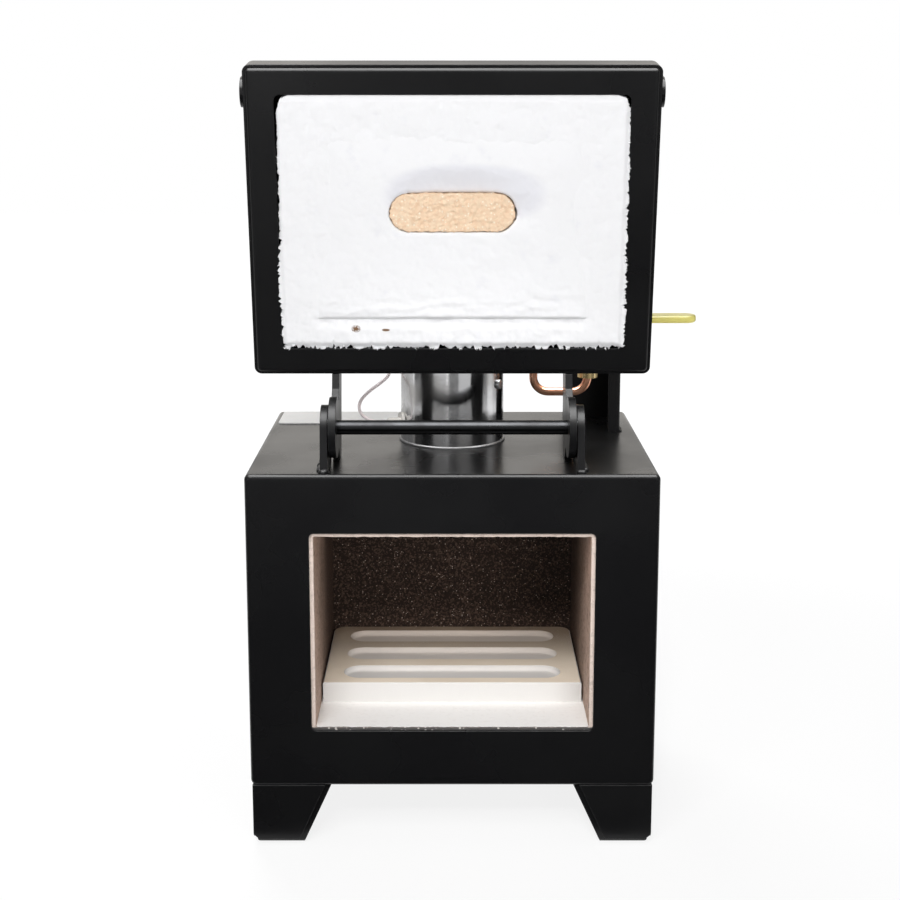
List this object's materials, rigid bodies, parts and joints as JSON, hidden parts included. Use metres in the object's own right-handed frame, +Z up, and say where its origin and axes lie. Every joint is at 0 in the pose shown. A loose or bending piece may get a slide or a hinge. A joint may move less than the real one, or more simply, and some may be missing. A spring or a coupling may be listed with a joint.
{
  "type": "laboratory furnace",
  "caption": "Small gas-fired laboratory box furnace: muffle chamber, grooved hearth plate, flip-up insulated door with vent plug, burner in a steel shroud, ball valve, spark igniter.",
  "frame": {"origin": "bottom centre of the box round the whole object with its door open, without the spark lead", "axes": "+Z up, +Y from the mouth towards the back, +X to the right of someone who faces the mouth"},
  "size_m": [0.325, 0.2138, 0.5393],
  "materials": {
    "black_paint": "gloss black paint",
    "polished_steel": "polished stainless steel",
    "zinc_steel": "zinc plated",
    "bare_steel": "bare drawn steel",
    "cast_iron": "as cast, heat darkened",
    "brass": "machined",
    "chrome": "polished",
    "copper": "drawn copper",
    "yellow_vinyl": "dipped vinyl",
    "refractory": "speckled, rough",
    "hearth_ceramic": "smooth fired, tan",
    "plug_refractory": "granular, tan",
    "ceramic_fibre": "white fibre",
    "black_plastic": "moulded",
    "red_plastic": "moulded",
    "white_insulator": "moulded",
    "white_silicone": "smooth",
    "electrode_ceramic": "glazed"
  },
  "bodies": {
    "furnace": {"bulkhead_nuts": "brass", "burner_bridge": "bare_steel", "burner_shroud": "polished_steel", "casing_wrap": "black_paint", "copper_gas_tube": "copper", "electrode_gland": "white_insulator", "electrode_rod": "electrode_ceramic", "flame_nozzle": "cast_iron", "front_left_foot": "black_paint", "front_panel": "black_paint", "front_right_foot": "black_paint", "gas_jet": "brass", "gas_tube_nuts": "brass", "hinge_lug_left": "black_paint", "hinge_lug_right": "black_paint", "igniter_body": "black_plastic", "igniter_bracket": "black_paint", "ignition_lead": "white_silicone", "inlet_nipple": "brass", "insulation_bottom": "ceramic_fibre", "insulation_left": "ceramic_fibre", "insulation_rear": "ceramic_fibre", "insulation_right": "ceramic_fibre", "insulation_top": "ceramic_fibre", "jet_bridge": "bare_steel", "mixing_tube": "bare_steel", "mouth_seal": "ceramic_fibre", "muffle_back_wall": "refractory", "muffle_ceiling": "refractory", "muffle_floor": "refractory", "muffle_left_wall": "refractory", "muffle_right_wall": "refractory", "outlet_elbow": "brass", "rear_left_foot": "black_paint", "rear_panel": "black_paint", "rear_panel_screws": "zinc_steel", "rear_right_foot": "black_paint", "shroud_base_ring": "polished_steel", "shroud_screws": "zinc_steel", "valve_body": "brass", "valve_bracket": "black_paint"},
    "door": {"door_pan": "black_paint", "door_frame": "black_paint", "door_blanket": "ceramic_fibre", "door_pad": "ceramic_fibre", "hinge_arm_left": "black_paint", "hinge_arm_right": "black_paint", "hinge_rod": "bare_steel", "hinge_washers": "zinc_steel", "door_handle": "black_paint", "handle_screws": "zinc_steel"},
    "valve_handle": {"valve_ball": "chrome", "valve_stem": "bare_steel", "valve_lever": "zinc_steel", "lever_sleeve": "yellow_vinyl", "lever_nut": "zinc_steel"},
    "vent_plug": {"vent_plug": "plug_refractory"},
    "igniter_button": {"igniter_button": "red_plastic"},
    "hearth": {"hearth_plate": "hearth_ceramic"}
  },
  "joints": [
    {"name": "door_hinge", "type": "hinge", "parent": "furnace", "child": "door", "pos_m": [-0.0225, -0.08295, 0.2934], "axis": [1, 0, 0], "range_deg": [0, 171]},
    {"name": "valve_turn", "type": "hinge", "parent": "furnace", "child": "valve_handle", "pos_m": [0.0775, 0.04405, 0.332], "axis": [0, 0, 1], "range_deg": [0, 90]},
    {"name": "hearth_slide", "type": "slide", "parent": "furnace", "child": "hearth", "axis": [0, -1, 0], "range_m": [0, 0.04]},
    {"name": "vent_pull", "type": "slide", "parent": "door", "child": "vent_plug", "axis": [0, 0.9877, 0.1564], "range_m": [0, 0.045]},
    {"name": "igniter_push", "type": "slide", "parent": "furnace", "child": "igniter_button", "axis": [-1, 0, 0], "range_m": [0, 0.005], "stiffness_N_per_m": 1000}
  ]
}
